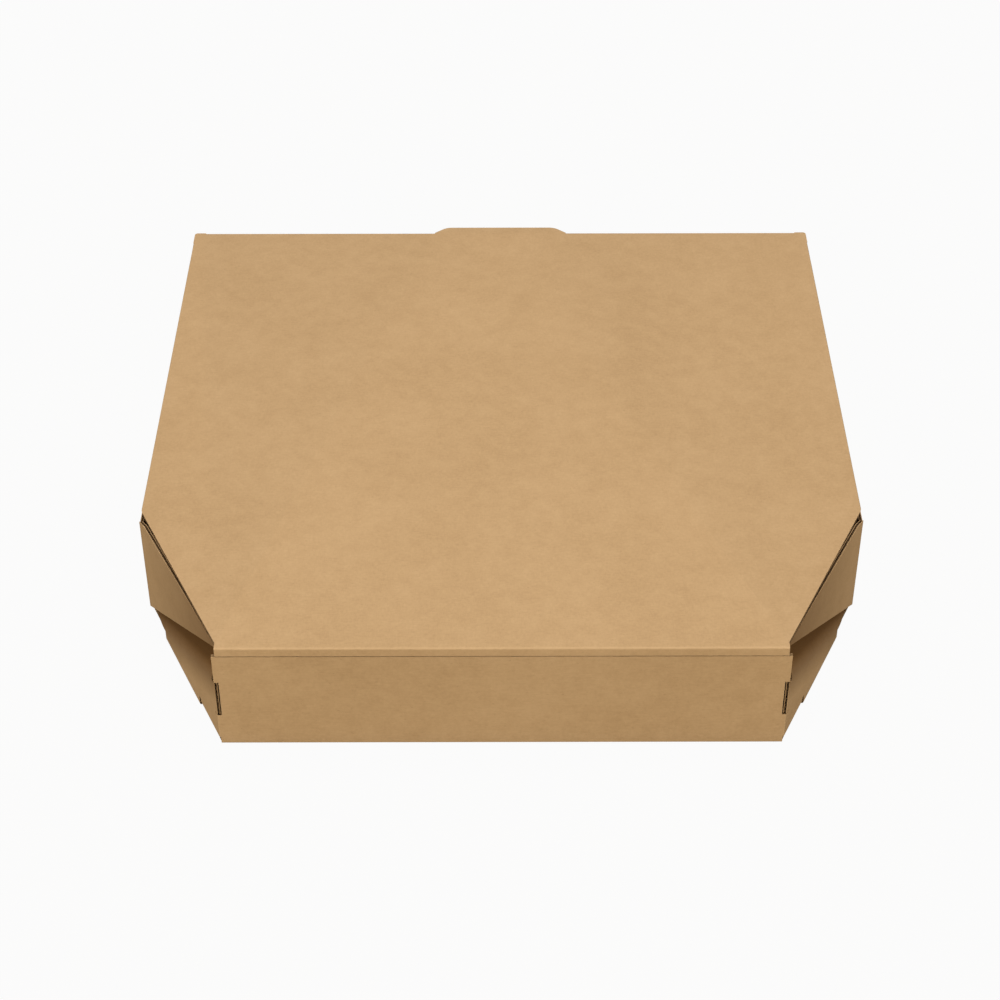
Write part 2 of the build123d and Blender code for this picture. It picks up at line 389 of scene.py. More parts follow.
class BoardSheet:
    """One liner of a sheet of board, modelled by the outer face of its right-hand half."""

    def __init__(self, name: str, outline: Sequence[Vector], board: Board, layer: Layer) -> None:
        """Starts a sheet with one flat panel.

        Args:
            name: The name of the piece.
            outline: The corners of the panel, in order.
            board: The board that it is cut from.
            layer: Which liner it becomes.
        """
        self.board = board
        self.layer = layer
        deselect()
        bpy.ops.mesh.primitive_circle_add(vertices=len(outline), fill_type="NGON")
        self.piece = bpy.context.object
        self.piece.name = name
        for vertex, place in zip(self.piece.data.vertices, outline):
            vertex.co = place
        self.piece.data.attributes.new(FOLD_ATTRIBUTE, "FLOAT", "POINT")
        # Only the outer liner carries painted shade.
        if layer is Layer.OUTER:
            self.piece.data.attributes.new(PAINTED_SHADE_ATTRIBUTE, "FLOAT", "POINT")
        self.edit()

    def edit(self) -> None:
        """Goes into edit mode with edges to pick."""
        use(self.piece)
        bpy.ops.object.mode_set(mode="EDIT")
        bpy.ops.mesh.select_mode(type="EDGE")

    def mesh(self) -> bmesh.types.BMesh:
        """The mesh that is being edited."""
        return bmesh.from_edit_mesh(self.piece.data)

    def pick(self, start: Vector, end: Vector) -> None:
        """Selects the edges that lie on a straight line, and no others.

        Args:
            start: One end of the line.
            end: The other end.
        """
        bpy.ops.mesh.select_mode(type="EDGE")
        bpy.ops.mesh.select_all(action="DESELECT")
        for edge in self.mesh().edges:
            if all(on_line(vertex.co, start, end) for vertex in edge.verts):
                edge.select_set(True)
        bmesh.update_edit_mesh(self.piece.data)

    def fold(self, pivot: Vector, axis: Vector, angle: float) -> None:
        """Rounds the picked edge over a crease, and leaves the far side of the crease picked.

        Args:
            pivot: A point on the axis of the fold.
            axis: The axis, about which the board turns right-handed.
            angle: The turn, in radians.
        """
        before = len(self.mesh().verts)
        bpy.ops.mesh.spin(steps=self.board.fold_steps, angle=angle, center=pivot, axis=-axis)
        mesh = self.mesh()
        mesh.verts.ensure_lookup_table()
        layer = mesh.verts.layers.float[FOLD_ATTRIBUTE]
        for vertex in mesh.verts[before:]:
            vertex[layer] = 0.0 if vertex.select else 1.0
        bmesh.update_edit_mesh(self.piece.data)

    def extend(self, reach: Vector) -> None:
        """Extrudes the picked edge into a flat panel, and leaves its far edge picked."""
        bpy.ops.mesh.extrude_edges_move(TRANSFORM_OT_translate={"value": reach})

    def shift(self, corner: Vector, move: Vector) -> None:
        """Moves one corner and keeps what is picked.

        Args:
            corner: Where the corner is.
            move: How far it goes.
        """
        mesh = self.mesh()
        nearest = min(mesh.verts, key=lambda vertex: (vertex.co - corner).length)
        if (nearest.co - corner).length > TOUCH:
            raise ValueError(f"{self.piece.name} has no corner at {corner}")
        nearest.co += move
        bmesh.update_edit_mesh(self.piece.data)

    def slant_fold(self, start: Vector, pivot: Vector, axis: Vector, angle: float, move: Vector) -> None:
        """Slides one end of a fold along the crease, a little more with each step round it.

        Args:
            start: The end of the fold on its first side.
            pivot: A point on the axis of the fold.
            axis: The axis, about which the board turned right-handed.
            angle: The turn, in radians.
            move: How far the last corner goes.
        """
        for step in range(1, self.board.fold_steps + 1):
            part = step / self.board.fold_steps
            turn = Matrix.Rotation(angle * part, 3, axis)
            self.shift(pivot + turn @ (start - pivot), move * part)

    def tuck(self, start: Vector, end: Vector, amount: float) -> None:
        """Paints shade on the corners on a line, if this is the outer liner.

        Args:
            start: One end of the line.
            end: The other end.
            amount: How much shade is painted, from 0 to 1.
        """
        # Painted shade, stored on the vertices for the liner's material.
        mesh = self.mesh()
        layer = mesh.verts.layers.float.get(PAINTED_SHADE_ATTRIBUTE)
        if layer is None:
            return
        for vertex in mesh.verts:
            if on_line(vertex.co, start, end):
                vertex[layer] = amount
        bmesh.update_edit_mesh(self.piece.data)

    def round_corner(self, corner: Vector, radius: float) -> None:
        """Rounds one corner of a panel's outline.

        Args:
            corner: Where the corner is.
            radius: How much of each side the round takes.
        """
        bpy.ops.mesh.select_mode(type="VERT")
        bpy.ops.mesh.select_all(action="DESELECT")
        nearest = min(self.mesh().verts, key=lambda vertex: (vertex.co - corner).length)
        nearest.select_set(True)
        bmesh.update_edit_mesh(self.piece.data)
        bpy.ops.mesh.bevel(offset=radius, segments=self.board.round_steps, affect="VERTICES")

    def cut(self, place: Vector, normal: Vector) -> None:
        """Divides all panels by a plane through a place."""
        bpy.ops.mesh.select_all(action="SELECT")
        bpy.ops.mesh.bisect(plane_co=place, plane_no=normal, threshold=CUT)

    def cut_out(self, centre: Vector) -> None:
        """Takes the panel nearest to a place out of the sheet.

        Args:
            centre: The place.
        """
        bpy.ops.mesh.select_mode(type="FACE")
        bpy.ops.mesh.select_all(action="DESELECT")
        nearest = min(self.mesh().faces, key=lambda face: (face.calc_center_median() - centre).length)
        nearest.select_set(True)
        bmesh.update_edit_mesh(self.piece.data)
        bpy.ops.mesh.delete(type="FACE")

    def make_liner(self, outer: Vector) -> bpy.types.Object:
        """Mirrors the sheet and gives it the thickness of its liner, on its own side of the fluting.

        Args:
            outer: The direction that the sheet's first panel faces.

        Returns:
            The finished liner.
        """
        deselect()
        apply_modifier(self.piece, "MIRROR", use_mirror_merge=True, merge_threshold=TOUCH)
        self.edit()
        bpy.ops.mesh.select_all(action="SELECT")
        bpy.ops.mesh.remove_doubles(threshold=TOUCH)
        bpy.ops.mesh.normals_make_consistent(inside=False)
        widest = max(self.mesh().faces, key=lambda face: face.calc_area())
        if widest.normal.dot(outer) < 0:
            bpy.ops.mesh.flip_normals()
        deselect()
        even = {"offset": -1, "use_even_offset": True, "use_quality_normals": True}
        if self.layer is Layer.INNER:
            faces = len(self.piece.data.polygons)
            apply_modifier(self.piece, "SOLIDIFY", thickness=self.board.thickness, use_rim=False, **even)
            self.drop_first_faces(faces)
        apply_modifier(self.piece, "SOLIDIFY", thickness=self.board.liner, use_rim=True, **even)
        use(self.piece)
        bpy.ops.object.shade_smooth_by_angle(angle=self.board.liner_smooth)
        return self.piece

    def drop_first_faces(self, count: int) -> None:
        """Deletes the sheet's first faces and leaves the shell that was offset from them.

        Args:
            count: How many faces go.
        """
        self.edit()
        bpy.ops.mesh.select_mode(type="FACE")
        bpy.ops.mesh.select_all(action="DESELECT")
        mesh = self.mesh()
        mesh.faces.ensure_lookup_table()
        for face in mesh.faces[:count]:
            face.select_set(True)
        bmesh.update_edit_mesh(self.piece.data)
        bpy.ops.mesh.delete(type="FACE")
        deselect()


def on_line(place: Vector, start: Vector, end: Vector) -> bool:
    """Whether a place lies on the straight line between two others.

    Args:
        place: The place.
        start: One end of the line.
        end: The other end.

    Returns:
        True if it does.
    """
    nearest, part = intersect_point_line(place, start, end)
    slack = TOUCH / (end - start).length
    return (nearest - place).length < TOUCH and -slack <= part <= 1 + slack


def rectangle(low: float, near: float, high: float, far: float) -> Outline:
    """The corners of a rectangle, in order.

    Args:
        low: Where it begins on its first axis.
        near: Where it begins on its second axis.
        high: Where it ends on its first axis.
        far: Where it ends on its second axis.

    Returns:
        Each corner's place on both axes.
    """
    return (low, near), (high, near), (high, far), (low, far)


@dataclass(frozen=True)
class FlutedPanel:
    """A flat convex panel with its fluting: an outline in distances across and along the flutes."""

    origin: Vector
    across: Vector
    along: Vector
    outer: Vector
    outline: Outline

    def lay(self, board: Board) -> bpy.types.Object:
        """Models the panel's fluting paper between its liners.

        Args:
            board: The board that the panel is cut from.

        Returns:
            A sheet of waves in its place, with no thickness yet.
        """
        low = min(across for across, _ in self.outline)
        high = max(across for across, _ in self.outline)
        near = min(along for _, along in self.outline)
        far = max(along for _, along in self.outline)
        first = math.floor(low / board.pitch) * board.pitch
        count = math.ceil((high - first) / board.pitch)
        deselect()
        bpy.ops.mesh.primitive_grid_add(x_subdivisions=count * board.flute_steps, y_subdivisions=1, size=1)
        piece = bpy.context.object
        for vertex in piece.data.vertices:
            across = first + (vertex.co.x + 0.5) * count * board.pitch
            along = near + (vertex.co.y + 0.5) * (far - near)
            wave = board.swing * math.cos(math.tau * across / board.pitch)
            vertex.co = (across, along, wave - board.thickness / 2)
        self.trim(piece, board.flute_inset)
        columns = (self.across, self.along, self.outer, self.origin)
        piece.data.transform(Matrix([[*row] for row in zip(*columns)] + [[0, 0, 0, 1]]))
        return piece

    def trim(self, piece: bpy.types.Object, inset: float) -> None:
        """Cuts the waves to the panel's outline.

        Args:
            piece: The waves.
            inset: How far inside the outline they end.
        """
        corners = [Vector((across, along, 0)) for across, along in self.outline]
        middle = sum(corners, Vector()) / len(corners)
        use(piece)
        bpy.ops.object.mode_set(mode="EDIT")
        for corner, following in zip(corners, corners[1:] + corners[:1]):
            away = (following - corner).cross(Z).normalized()
            if away.dot(middle - corner) > 0:
                away = -away
            bpy.ops.mesh.select_all(action="SELECT")
            edge = corner - away * inset
            bpy.ops.mesh.bisect(plane_co=edge, plane_no=away, clear_outer=True, threshold=CUT)
        bpy.ops.object.mode_set(mode="OBJECT")


def make_fluting(name: str, patches: Iterable[bpy.types.Object], board: Board) -> bpy.types.Object:
    """Joins the fluting of a half's panels, mirrors it and gives it its paper's thickness.

    Args:
        name: The name of the piece.
        patches: The fluting of the panels on the right-hand side.
        board: The board that it belongs to.

    Returns:
        The finished piece.
    """
    piece = join(list(patches), name)
    apply_modifier(piece, "MIRROR", use_mirror_merge=False)
    apply_modifier(piece, "SOLIDIFY", thickness=board.medium, offset=0, use_rim=True)
    use(piece)
    bpy.ops.object.mode_set(mode="EDIT")
    bpy.ops.mesh.select_all(action="SELECT")
    bpy.ops.mesh.normals_make_consistent(inside=False)
    bpy.ops.object.mode_set(mode="OBJECT")
    bpy.ops.object.shade_smooth_by_angle(angle=board.fluting_smooth)
    return piece


@dataclass(frozen=True)
class Noise:
    """A layer of noise: its blotches in a metre, how many finer layers it has and how strong those are."""

    scale: float
    detail: float
    rough: float = 0.5


@dataclass(frozen=True)
class KraftLiner:
    """Brown kraft paper, faintly mottled, fibrous and matte.

    It is lighter where it is creased, from wear and a painted highlight, and painted shade darkens its own
    hollows and the parts that carry the painted shade attribute.
    """

    name: str = "kraft_liner"
    base: Colour = (0.572, 0.364, 0.181)
    dark: Colour = (0.515, 0.322, 0.155)
    light: Colour = (0.620, 0.402, 0.206)
    tone_range: tuple[float, float] = (0.38, 0.62)
    speck: Colour = (0.33, 0.19, 0.08)
    speck_range: tuple[float, float] = (0.70, 0.80)
    speck_share: float = 0.35
    worn_highlight: Colour = (0.66, 0.445, 0.24)
    worn_highlight_share: float = 0.35
    shade: Colour = (0.25, 0.17, 0.06)
    shade_reach: float = 0.018
    shade_samples: int = 6
    cloud: Noise = Noise(22, 2)
    mottle: Noise = Noise(140, 3, 0.55)
    grain: Noise = Noise(800, 3, 0.6)
    fibre: Noise = Noise(1, 2)
    fleck: Noise = Noise(1, 1)
    fibre_across: tuple[float, float, float] = (240, 2600, 2600)
    fibre_along: tuple[float, float, float] = (2600, 320, 2600)
    fleck_stretch: tuple[float, float, float] = (700, 1700, 1700)
    roughness: float = 0.88
    specular: float = 0.25
    relief: float = 0.12
    relief_height: float = 0.0002
    pitch: float = 0.0031

    def build(self) -> bpy.types.Material:
        """Makes the material's nodes.

        Returns:
            The material.
        """
        nodes = NodeTree(bpy.data.materials.new(self.name))
        place = nodes.add("ShaderNodeTexCoord").outputs["Object"]
        cloud = nodes.noise(place, self.cloud)
        mottle = nodes.noise(place, self.mottle)
        grain = nodes.noise(place, self.grain)
        fibre_x = nodes.noise(nodes.stretch(place, self.fibre_across), self.fibre)
        fibre_y = nodes.noise(nodes.stretch(place, self.fibre_along), self.fibre)
        tone = nodes.blend_sum([(cloud, 0.7), (mottle, 0.8), (grain, 0.9), (fibre_x, 0.7), (fibre_y, 0.5)])
        low, high = self.tone_range
        colour = nodes.ramp(tone, [(low, self.dark), ((low + high) / 2, self.base), (high, self.light)])
        flecks = nodes.noise(nodes.stretch(place, self.fleck_stretch), self.fleck)
        colour = nodes.mix(colour, self.speck, nodes.between(flecks, *self.speck_range, self.speck_share))
        # Creases are lighter: partly wear of the paper, partly a painted highlight on the rounded folds.
        wear_and_highlight = nodes.math("MULTIPLY", nodes.attribute(FOLD_ATTRIBUTE), self.worn_highlight_share)
        colour = nodes.mix(colour, self.worn_highlight, wear_and_highlight)
        # Painted shade: the colour is multiplied towards the shade colour by the liner's own ambient
        # occlusion and by the painted shade attribute.
        hollow_shade = nodes.add("ShaderNodeAmbientOcclusion")
        hollow_shade.samples = self.shade_samples
        hollow_shade.only_local = True
        hollow_shade.inputs["Distance"].default_value = self.shade_reach
        depth = nodes.math("SUBTRACT", 1.0, hollow_shade.outputs["AO"])
        depth = nodes.math("MAXIMUM", depth, nodes.attribute(PAINTED_SHADE_ATTRIBUTE))
        colour = nodes.mix(colour, self.shade, depth, "MULTIPLY")
        nodes.finish(colour, self.roughness, self.specular)
        turns = nodes.math("MULTIPLY", nodes.axis(place, "X"), math.tau / self.pitch)
        ridge = nodes.math("SINE", turns, 0.0)
        height = nodes.blend_sum([(grain, 1.0), (fibre_x, 0.8), (fibre_y, 0.6), (ridge, 0.06)])
        nodes.bump(height, self.relief, self.relief_height)
        return nodes.material


@dataclass(frozen=True)
class FlutingPaper:
    """The rougher paper of the flutes, darker than the liners: partly its own tone, partly painted shade of
    the hollows between the flutes.
    """

    name: str = "fluting_paper"
    # Dark tones: partly the paper's own, partly painted shade for the hollows between the flutes.
    dark: Colour = (0.14, 0.08, 0.034)
    light: Colour = (0.25, 0.15, 0.068)
    tone_range: tuple[float, float] = (0.35, 0.65)
    grain: Noise = Noise(600, 4, 0.6)
    roughness: float = 0.92
    specular: float = 0.2
    relief: float = 0.2
    relief_height: float = 0.0002

    def build(self) -> bpy.types.Material:
        """Makes the material's nodes.

        Returns:
            The material.
        """
        nodes = NodeTree(bpy.data.materials.new(self.name))
        place = nodes.add("ShaderNodeTexCoord").outputs["Object"]
        grain = nodes.noise(place, self.grain)
        colour = nodes.ramp(grain, list(zip(self.tone_range, (self.dark, self.light))))
        nodes.finish(colour, self.roughness, self.specular)
        nodes.bump(grain, self.relief, self.relief_height)
        return nodes.material


class NodeTree:
    """A material's nodes, with short ways to add the ones that paper needs."""

    def __init__(self, material: bpy.types.Material) -> None:
        """Starts from a new material with its one shader.

        Args:
            material: The material.
        """
        material.use_nodes = True
        self.material = material
        self.tree = material.node_tree
        self.shader = self.tree.nodes["Principled BSDF"]

    def add(self, kind: str) -> bpy.types.Node:
        """Adds a node."""
        return self.tree.nodes.new(kind)

    def link(self, output: Socket, socket: Socket) -> None:
        """Links an output to a socket."""
        self.tree.links.new(output, socket)

    def finish(self, colour: Socket, roughness: float, specular: float) -> None:
        """Gives the shader its colour and its gloss.

        Args:
            colour: The colour.
            roughness: How matte it is.
            specular: How strongly it mirrors light.
        """
        self.link(colour, self.shader.inputs["Base Color"])
        self.shader.inputs["Roughness"].default_value = roughness
        self.shader.inputs["Specular IOR Level"].default_value = specular

    def attribute(self, name: str) -> Socket:
        """Reads a value that is stored in the mesh."""
        node = self.add("ShaderNodeAttribute")
        node.attribute_name = name
        return node.outputs["Fac"]

    def noise(self, place: Socket, noise: Noise) -> Socket:
        """Adds a layer of noise.

        Args:
            place: The coordinates.
            noise: The layer's kind.

        Returns:
            The noise's value, about 0.5.
        """
        node = self.add("ShaderNodeTexNoise")
        self.link(place, node.inputs["Vector"])
        node.inputs["Scale"].default_value = noise.scale
        node.inputs["Detail"].default_value = noise.detail
        node.inputs["Roughness"].default_value = noise.rough
        return node.outputs["Fac"]

    def stretch(self, place: Socket, scale: tuple[float, float, float]) -> Socket:
        """Scales coordinates by axis.

        Args:
            place: The coordinates.
            scale: The factor for each axis.

        Returns:
            The scaled coordinates.
        """
        node = self.add("ShaderNodeMapping")
        self.link(place, node.inputs["Vector"])
        node.inputs["Scale"].default_value = scale
        return node.outputs["Vector"]

    def math(self, operation: str, first: object, second: object) -> Socket:
        """Adds a sum of two values.

        Args:
            operation: The kind of sum.
            first: A number or an output.
            second: A number or an output.

        Returns:
            The result.
        """
        node = self.add("ShaderNodeMath")
        node.operation = operation
        for socket, value in zip(node.inputs, (first, second)):
            if isinstance(value, (int, float)):
                socket.default_value = value
            else:
                self.link(value, socket)
        return node.outputs["Value"]

    def blend_sum(self, parts: Sequence[tuple[Socket, float]]) -> Socket:
        """Adds several layers of noise by weight, so that the sum stays about 0.5.

        Args:
            parts: Each layer's output and weight.

        Returns:
            The sum.
        """
        total = sum(weight for _, weight in parts)
        result: object = 0.0
        for output, weight in parts:
            result = self.math("ADD", self.math("MULTIPLY", output, weight / total), result)
        return result

    def axis(self, place: Socket, name: str) -> Socket:
        """Takes one axis of coordinates."""
        node = self.add("ShaderNodeSeparateXYZ")
        self.link(place, node.inputs["Vector"])
        return node.outputs[name]

    def between(self, value: Socket, low: float, high: float, most: float) -> Socket:
        """Turns a value into a share that rises from none to its most.

        Args:
            value: The value.
            low: Where the share is none.
            high: Where it is at its most.
            most: The largest share.

        Returns:
            The share.
        """
        node = self.add("ShaderNodeMapRange")
        self.link(value, node.inputs["Value"])
        node.inputs["From Min"].default_value = low
        node.inputs["From Max"].default_value = high
        node.inputs["To Max"].default_value = most
        return node.outputs["Result"]

    def mix(
        self,
        colour: Socket,
        other: Colour,
        share: Socket,
        blend: str = "MIX",
    ) -> Socket:
        """Mixes a fixed colour into another.

        Args:
            colour: The colour that is changed.
            other: The colour that is mixed in.
            share: How much of it is mixed in.
            blend: The way that they mix.

        Returns:
            The mixed colour.
        """
        node = self.add("ShaderNodeMix")
        node.data_type = "RGBA"
        node.blend_type = blend
        # The node's sockets for numbers, vectors and colours share their names, so they are taken by place.
        factor, first, second = node.inputs[0], node.inputs[6], node.inputs[7]
        self.link(share, factor)
        self.link(colour, first)
        second.default_value = (*other, 1)
        return node.outputs[2]

    def bump(self, height: Socket, strength: float, distance: float) -> None:
        """Gives the shader a relief.

        Args:
            height: The relief's height.
            strength: How strongly it shows.
            distance: How high it is.
        """
        node = self.add("ShaderNodeBump")
        self.link(height, node.inputs["Height"])
        node.inputs["Strength"].default_value = strength
        node.inputs["Distance"].default_value = distance
        self.link(node.outputs["Normal"], self.shader.inputs["Normal"])

    def ramp(self, value: Socket, stops: Sequence[tuple[float, Colour]]) -> Socket:
        """Adds a colour ramp.

        Args:
            value: What picks the colour.
            stops: Each colour's place and value.

        Returns:
            The colour.
        """
        node = self.add("ShaderNodeValToRGB")
        self.link(value, node.inputs["Fac"])
        elements = node.color_ramp.elements
        while len(elements) < len(stops):
            elements.new(0.5)
        for element, (place, colour) in zip(elements, stops):
            element.position = place
            element.color = (*colour, 1)
        return node.outputs["Color"]


@dataclass
class Half(ABC):
    """One half of the box: a folded sheet of board, made of its liners and its fluting."""

    sizes: BoxSizes
    board: Board
    body: ClassVar[str]

    def corner(self, x: float, depth: float, height: float) -> Vector:
        """A place by its depth from the rear wall's outer face."""
        return Vector((x, self.sizes.rear + depth, height))

    @abstractmethod
    def fold_sheet(self, layer: Layer) -> bpy.types.Object:
        """Models one liner of the sheet."""

    @abstractmethod
    def build_fluting(self) -> bpy.types.Object:
        """Lays the fluting of the sheet's panels."""

    def build_liners(self) -> bpy.types.Object:
        """Models both liners and joins them."""
        return join([self.fold_sheet(layer) for layer in Layer], f"{self.body}_liners")

    def dress(self, piece: bpy.types.Object, material: bpy.types.Material) -> None:
        """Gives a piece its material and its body.

        Args:
            piece: The piece.
            material: Its finish.
        """
        piece.data.materials.clear()
        piece.data.materials.append(material)
        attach(piece, self.body)
        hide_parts(self.body)
        log.info("%s: %d faces on %s", piece.name, len(piece.data.polygons), self.body)

    def build(self, liner: bpy.types.Material, fluting: bpy.types.Material) -> None:
        """Models and dresses this half.

        Args:
            liner: The finish of its liners.
            fluting: The finish of its fluting.
        """
        self.dress(self.build_liners(), liner)
        self.dress(self.build_fluting(), fluting)


@dataclass
class Lid(Half):
    """The upper half: top panel, thumb tab, hinge band, two side flaps and a tuck flap."""

    body = "lid"

    def __post_init__(self) -> None:
        """Works out the lines that the panels would meet on if the folds were sharp."""
        size = self.sizes
        self.depth = size.lid_front - size.rear
        self.band_angle = math.atan2(size.lid_top - size.wall_top, size.hinge_setback)
        self.side_turn = QUARTER + size.flap_lean
        self.tuck_turn = QUARTER + size.tuck_lean
        self.side_line = size.half_lid + self.board.outer_radius * (math.tan(self.side_turn / 2) - 1)
        self.front_line = self.depth + self.board.outer_radius * (math.tan(self.tuck_turn / 2) - 1)
        self.slant_slope = (size.slant_start - size.slant_end) / size.slant_inset

    def edges(self, layer: Layer) -> tuple[float, float, float]:
        """Where the top panel's folds begin.

        Args:
            layer: The liner that is folded.

        Returns:
            The depth of the hinge's crease, the side edge and the depth of the front edge.
        """
        radius = self.board.radius(layer)
        crease = self.sizes.hinge_setback + radius * math.tan(self.band_angle / 2)
        side = self.side_line - radius * math.tan(self.side_turn / 2)
        return crease, side, self.front_line - radius * math.tan(self.tuck_turn / 2)

    def slant_depth(self, x: float) -> float:
        """The depth of the slanted corner at a distance from the middle."""
        return self.sizes.slant_end + self.slant_slope * (x - self.sizes.half_hinge)

    def fold_sheet(self, layer: Layer) -> bpy.types.Object:
        """Models the lid's sheet from its top panel outwards.

        Args:
            layer: The liner that it becomes.

        Returns:
            The liner.
        """
        size = self.sizes
        top = size.lid_top
        crease, side, front = self.edges(layer)
        flap_front = self.depth - size.flap_front
        half_tuck = size.half_lid - size.tuck_end_gap
        outline = [
            self.corner(0, crease, top),
            self.corner(size.half_hinge, crease, top),
            self.corner(size.half_hinge, size.slant_end, top),
            self.corner(side, self.slant_depth(side), top),
            self.corner(side, flap_front, top),
            self.corner(size.half_lid, flap_front, top),
            self.corner(size.half_lid, self.depth, top),
            self.corner(half_tuck, self.depth, top),
            self.corner(half_tuck, front, top),
            self.corner(size.tab_base, front, top),
            self.corner(0, front, top),
        ]
        sheet = BoardSheet(f"lid_{layer.value}", outline, self.board, layer)
        sheet.round_corner(outline[6], size.lid_round)
        self.fold_side_flap(sheet, outline[3], outline[4])
        self.fold_tuck_flap(sheet, outline[8], outline[9])
        self.cut_thumb_tab(sheet, outline[9], outline[10])
        self.fold_hinge_band(sheet, outline[0], outline[1])
        return sheet.make_liner(Z)

    def fold_side_flap(self, sheet: BoardSheet, rear: Vector, front: Vector) -> None:
        """Folds the side flap down from the top panel's edge, leaning inwards.

        Args:
            sheet: The lid's sheet.
            rear: The edge's rear end.
            front: The edge's front end.
        """
        size = self.sizes
        radius = self.board.radius(sheet.layer)
        pivot = rear - Z * radius
        sheet.pick(rear, front)
        sheet.fold(pivot, Y, self.side_turn)
        slide = size.slant_start + size.flap_rear - (rear.y - size.rear)
        sheet.slant_fold(rear, pivot, Y, self.side_turn, Y * slide)
        start = pivot + Matrix.Rotation(self.side_turn, 3, Y) @ (Z * radius)
        down = Vector((-math.sin(size.flap_lean), 0, -math.cos(size.flap_lean)))
        drop = down * ((start.z - size.flap_foot) / -down.z)
        sheet.extend(drop)
        sheet.shift(start + Y * slide + drop, Y * size.flap_taper)
        sheet.shift(start + Y * (front.y - rear.y) + drop, -Y * size.flap_taper)

    def fold_tuck_flap(self, sheet: BoardSheet, outer: Vector, inner: Vector) -> None:
        """Folds the tuck flap down from the front edge, with the cut-out that the thumb tab leaves.

        Args:
            sheet: The lid's sheet.
            outer: The edge's outer end.
            inner: The edge's end at the thumb tab.
        """
        size = self.sizes
        radius = self.board.radius(sheet.layer)
        pivot = Vector((0, outer.y, outer.z - radius))
        sheet.pick(outer, inner)
        sheet.fold(pivot, -X, self.tuck_turn)
        down = Vector((0, -math.sin(size.tuck_lean), -math.cos(size.tuck_lean)))
        start = pivot + Matrix.Rotation(self.tuck_turn, 3, -X) @ (Z * radius)
        cut = size.tab_reach + size.tab_gap - radius * math.tan(self.tuck_turn / 2)
        drop = (start.z - size.flap_foot) / -down.z
        sheet.extend(down * cut)
        sheet.shift(start + X * inner.x + down * cut, X * (size.tab_end - inner.x))
        sheet.extend(down * (drop - cut))
        sheet.shift(start + X * outer.x + down * drop, -X * size.tuck_taper)
        tip = start + X * size.tab_end
        sheet.pick(tip + down * cut, tip + down * drop)
        sheet.extend(-X * size.tab_end)

    def cut_thumb_tab(self, sheet: BoardSheet, base: Vector, middle: Vector) -> None:
        """Runs the thumb tab on from the top panel, past the front fold, with its tip a little down.

        Args:
            sheet: The lid's sheet.
            base: The tab's outer end on the fold.
            middle: The middle of the fold.
        """
        size = self.sizes
        sheet.pick(base, middle)
        sheet.extend(Y * (size.lid_front - base.y))
        sheet.extend(Y * size.tab_reach - Z * size.tab_droop)
        tip = Vector((base.x, size.tab_tip, base.z - size.tab_droop))
        sheet.shift(tip, X * (size.tab_end - base.x))
        sheet.round_corner(Vector((size.tab_end, tip.y, tip.z)), size.tab_round)

    def fold_hinge_band(self, sheet: BoardSheet, middle: Vector, end: Vector) -> None:
        """Folds the hinge band down over the upper crease, to the lower crease at the rear wall.

        Args:
            sheet: The lid's sheet.
            middle: The middle of the upper crease.
            end: The end of the upper crease.
        """
        size = self.sizes
        radius = self.board.radius(sheet.layer)
        pivot = middle - Z * radius
        sheet.pick(middle, end)
        sheet.fold(pivot, X, self.band_angle)
        down = Vector((0, -math.cos(self.band_angle), -math.sin(self.band_angle)))
        start = pivot + Matrix.Rotation(self.band_angle, 3, X) @ (Z * radius)
        sheet.extend(down * ((start.z - size.wall_top - size.crease_gap) / -down.z))

    def build_fluting(self) -> bpy.types.Object:
        """Lays the fluting of the lid's panels.

        Returns:
            The lid's fluting.
        """
        size = self.sizes
        crease, side, front = self.edges(Layer.INNER)
        radius = self.board.inner_radius
        top = self.corner(0, 0, size.lid_top)
        half_tuck = size.half_lid - size.tuck_end_gap
        flap_front = self.depth - size.flap_front
        down = Vector((0, -math.sin(size.tuck_lean), -math.cos(size.tuck_lean)))
        tuck_out = Vector((0, math.cos(size.tuck_lean), -math.sin(size.tuck_lean)))
        tuck_top = self.corner(0, self.front_line, size.lid_top)
        tuck_cut = size.tab_reach + size.tab_gap
        tuck_drop = (size.lid_top - size.flap_foot) / -down.z
        band_down = Vector((0, -math.cos(self.band_angle), -math.sin(self.band_angle)))
        band_out = Vector((0, -math.sin(self.band_angle), math.cos(self.band_angle)))
        band_top = self.corner(0, size.hinge_setback, size.lid_top)
        band_start = radius * math.tan(self.band_angle / 2)
        band_drop = (size.lid_top - size.wall_top - size.crease_gap) / -band_down.z
        side_top = self.corner(self.side_line, 0, size.lid_top)
        side_down = Vector((-math.sin(size.flap_lean), 0, -math.cos(size.flap_lean)))
        side_out = Vector((math.cos(size.flap_lean), 0, -math.sin(size.flap_lean)))
        side_drop = (size.lid_top - size.flap_foot) / -side_down.z
        side_start = radius * math.tan(self.side_turn / 2)
        rear = size.slant_start + size.flap_rear
        tab = Vector((0, size.tab_reach, -size.tab_droop)).normalized()
        tab_start = self.corner(0, self.depth, size.lid_top)
        tab_reach = math.hypot(size.tab_reach, size.tab_droop)
